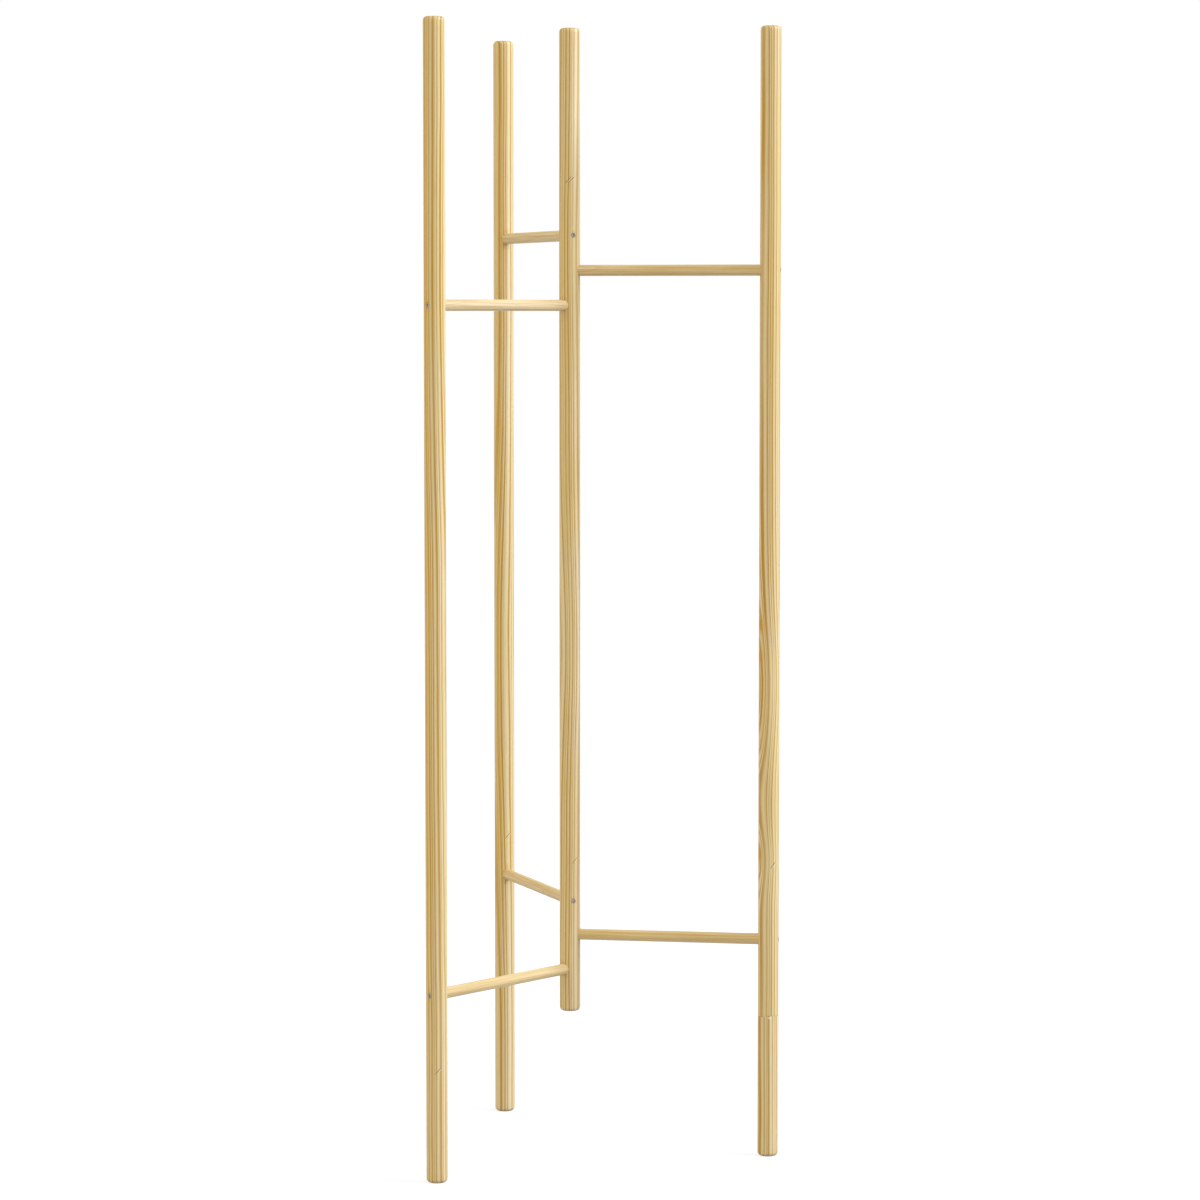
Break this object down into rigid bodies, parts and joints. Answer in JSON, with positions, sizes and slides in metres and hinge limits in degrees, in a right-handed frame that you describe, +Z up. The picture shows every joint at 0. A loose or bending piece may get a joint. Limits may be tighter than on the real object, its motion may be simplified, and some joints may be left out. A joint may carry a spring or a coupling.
{
  "type": "clothes stand",
  "caption": "Free-standing open frame wardrobe of round pine: outer floor posts on a triangle, each tied by round rungs, stepped in height, to a raised centre post.",
  "frame": {"origin": "on the floor, under the middle of the bounding box", "axes": "+Z up along the posts, +X along the right arm from the centre post, +Y towards the back arm's side"},
  "size_m": [0.465, 0.5322, 1.62],
  "materials": {
    "pine": "planed smooth, clear satin",
    "screw_steel": "zinc plated, matt"
  },
  "bodies": {
    "root": {"centre_post": "pine", "left_post": "pine", "left_rung_lower": "pine", "left_rung_lower_centre_screw": "screw_steel", "left_rung_lower_outer_screw": "screw_steel", "left_rung_upper": "pine", "left_rung_upper_centre_screw": "screw_steel", "left_rung_upper_outer_screw": "screw_steel", "right_post": "pine", "right_rung_lower": "pine", "right_rung_lower_centre_screw": "screw_steel", "right_rung_lower_outer_screw": "screw_steel", "right_rung_upper": "pine", "right_rung_upper_centre_screw": "screw_steel", "right_rung_upper_outer_screw": "screw_steel", "back_post": "pine", "back_rung_lower": "pine", "back_rung_lower_centre_screw": "screw_steel", "back_rung_lower_outer_screw": "screw_steel", "back_rung_upper": "pine", "back_rung_upper_centre_screw": "screw_steel", "back_rung_upper_outer_screw": "screw_steel"}
  },
  "joints": []
}
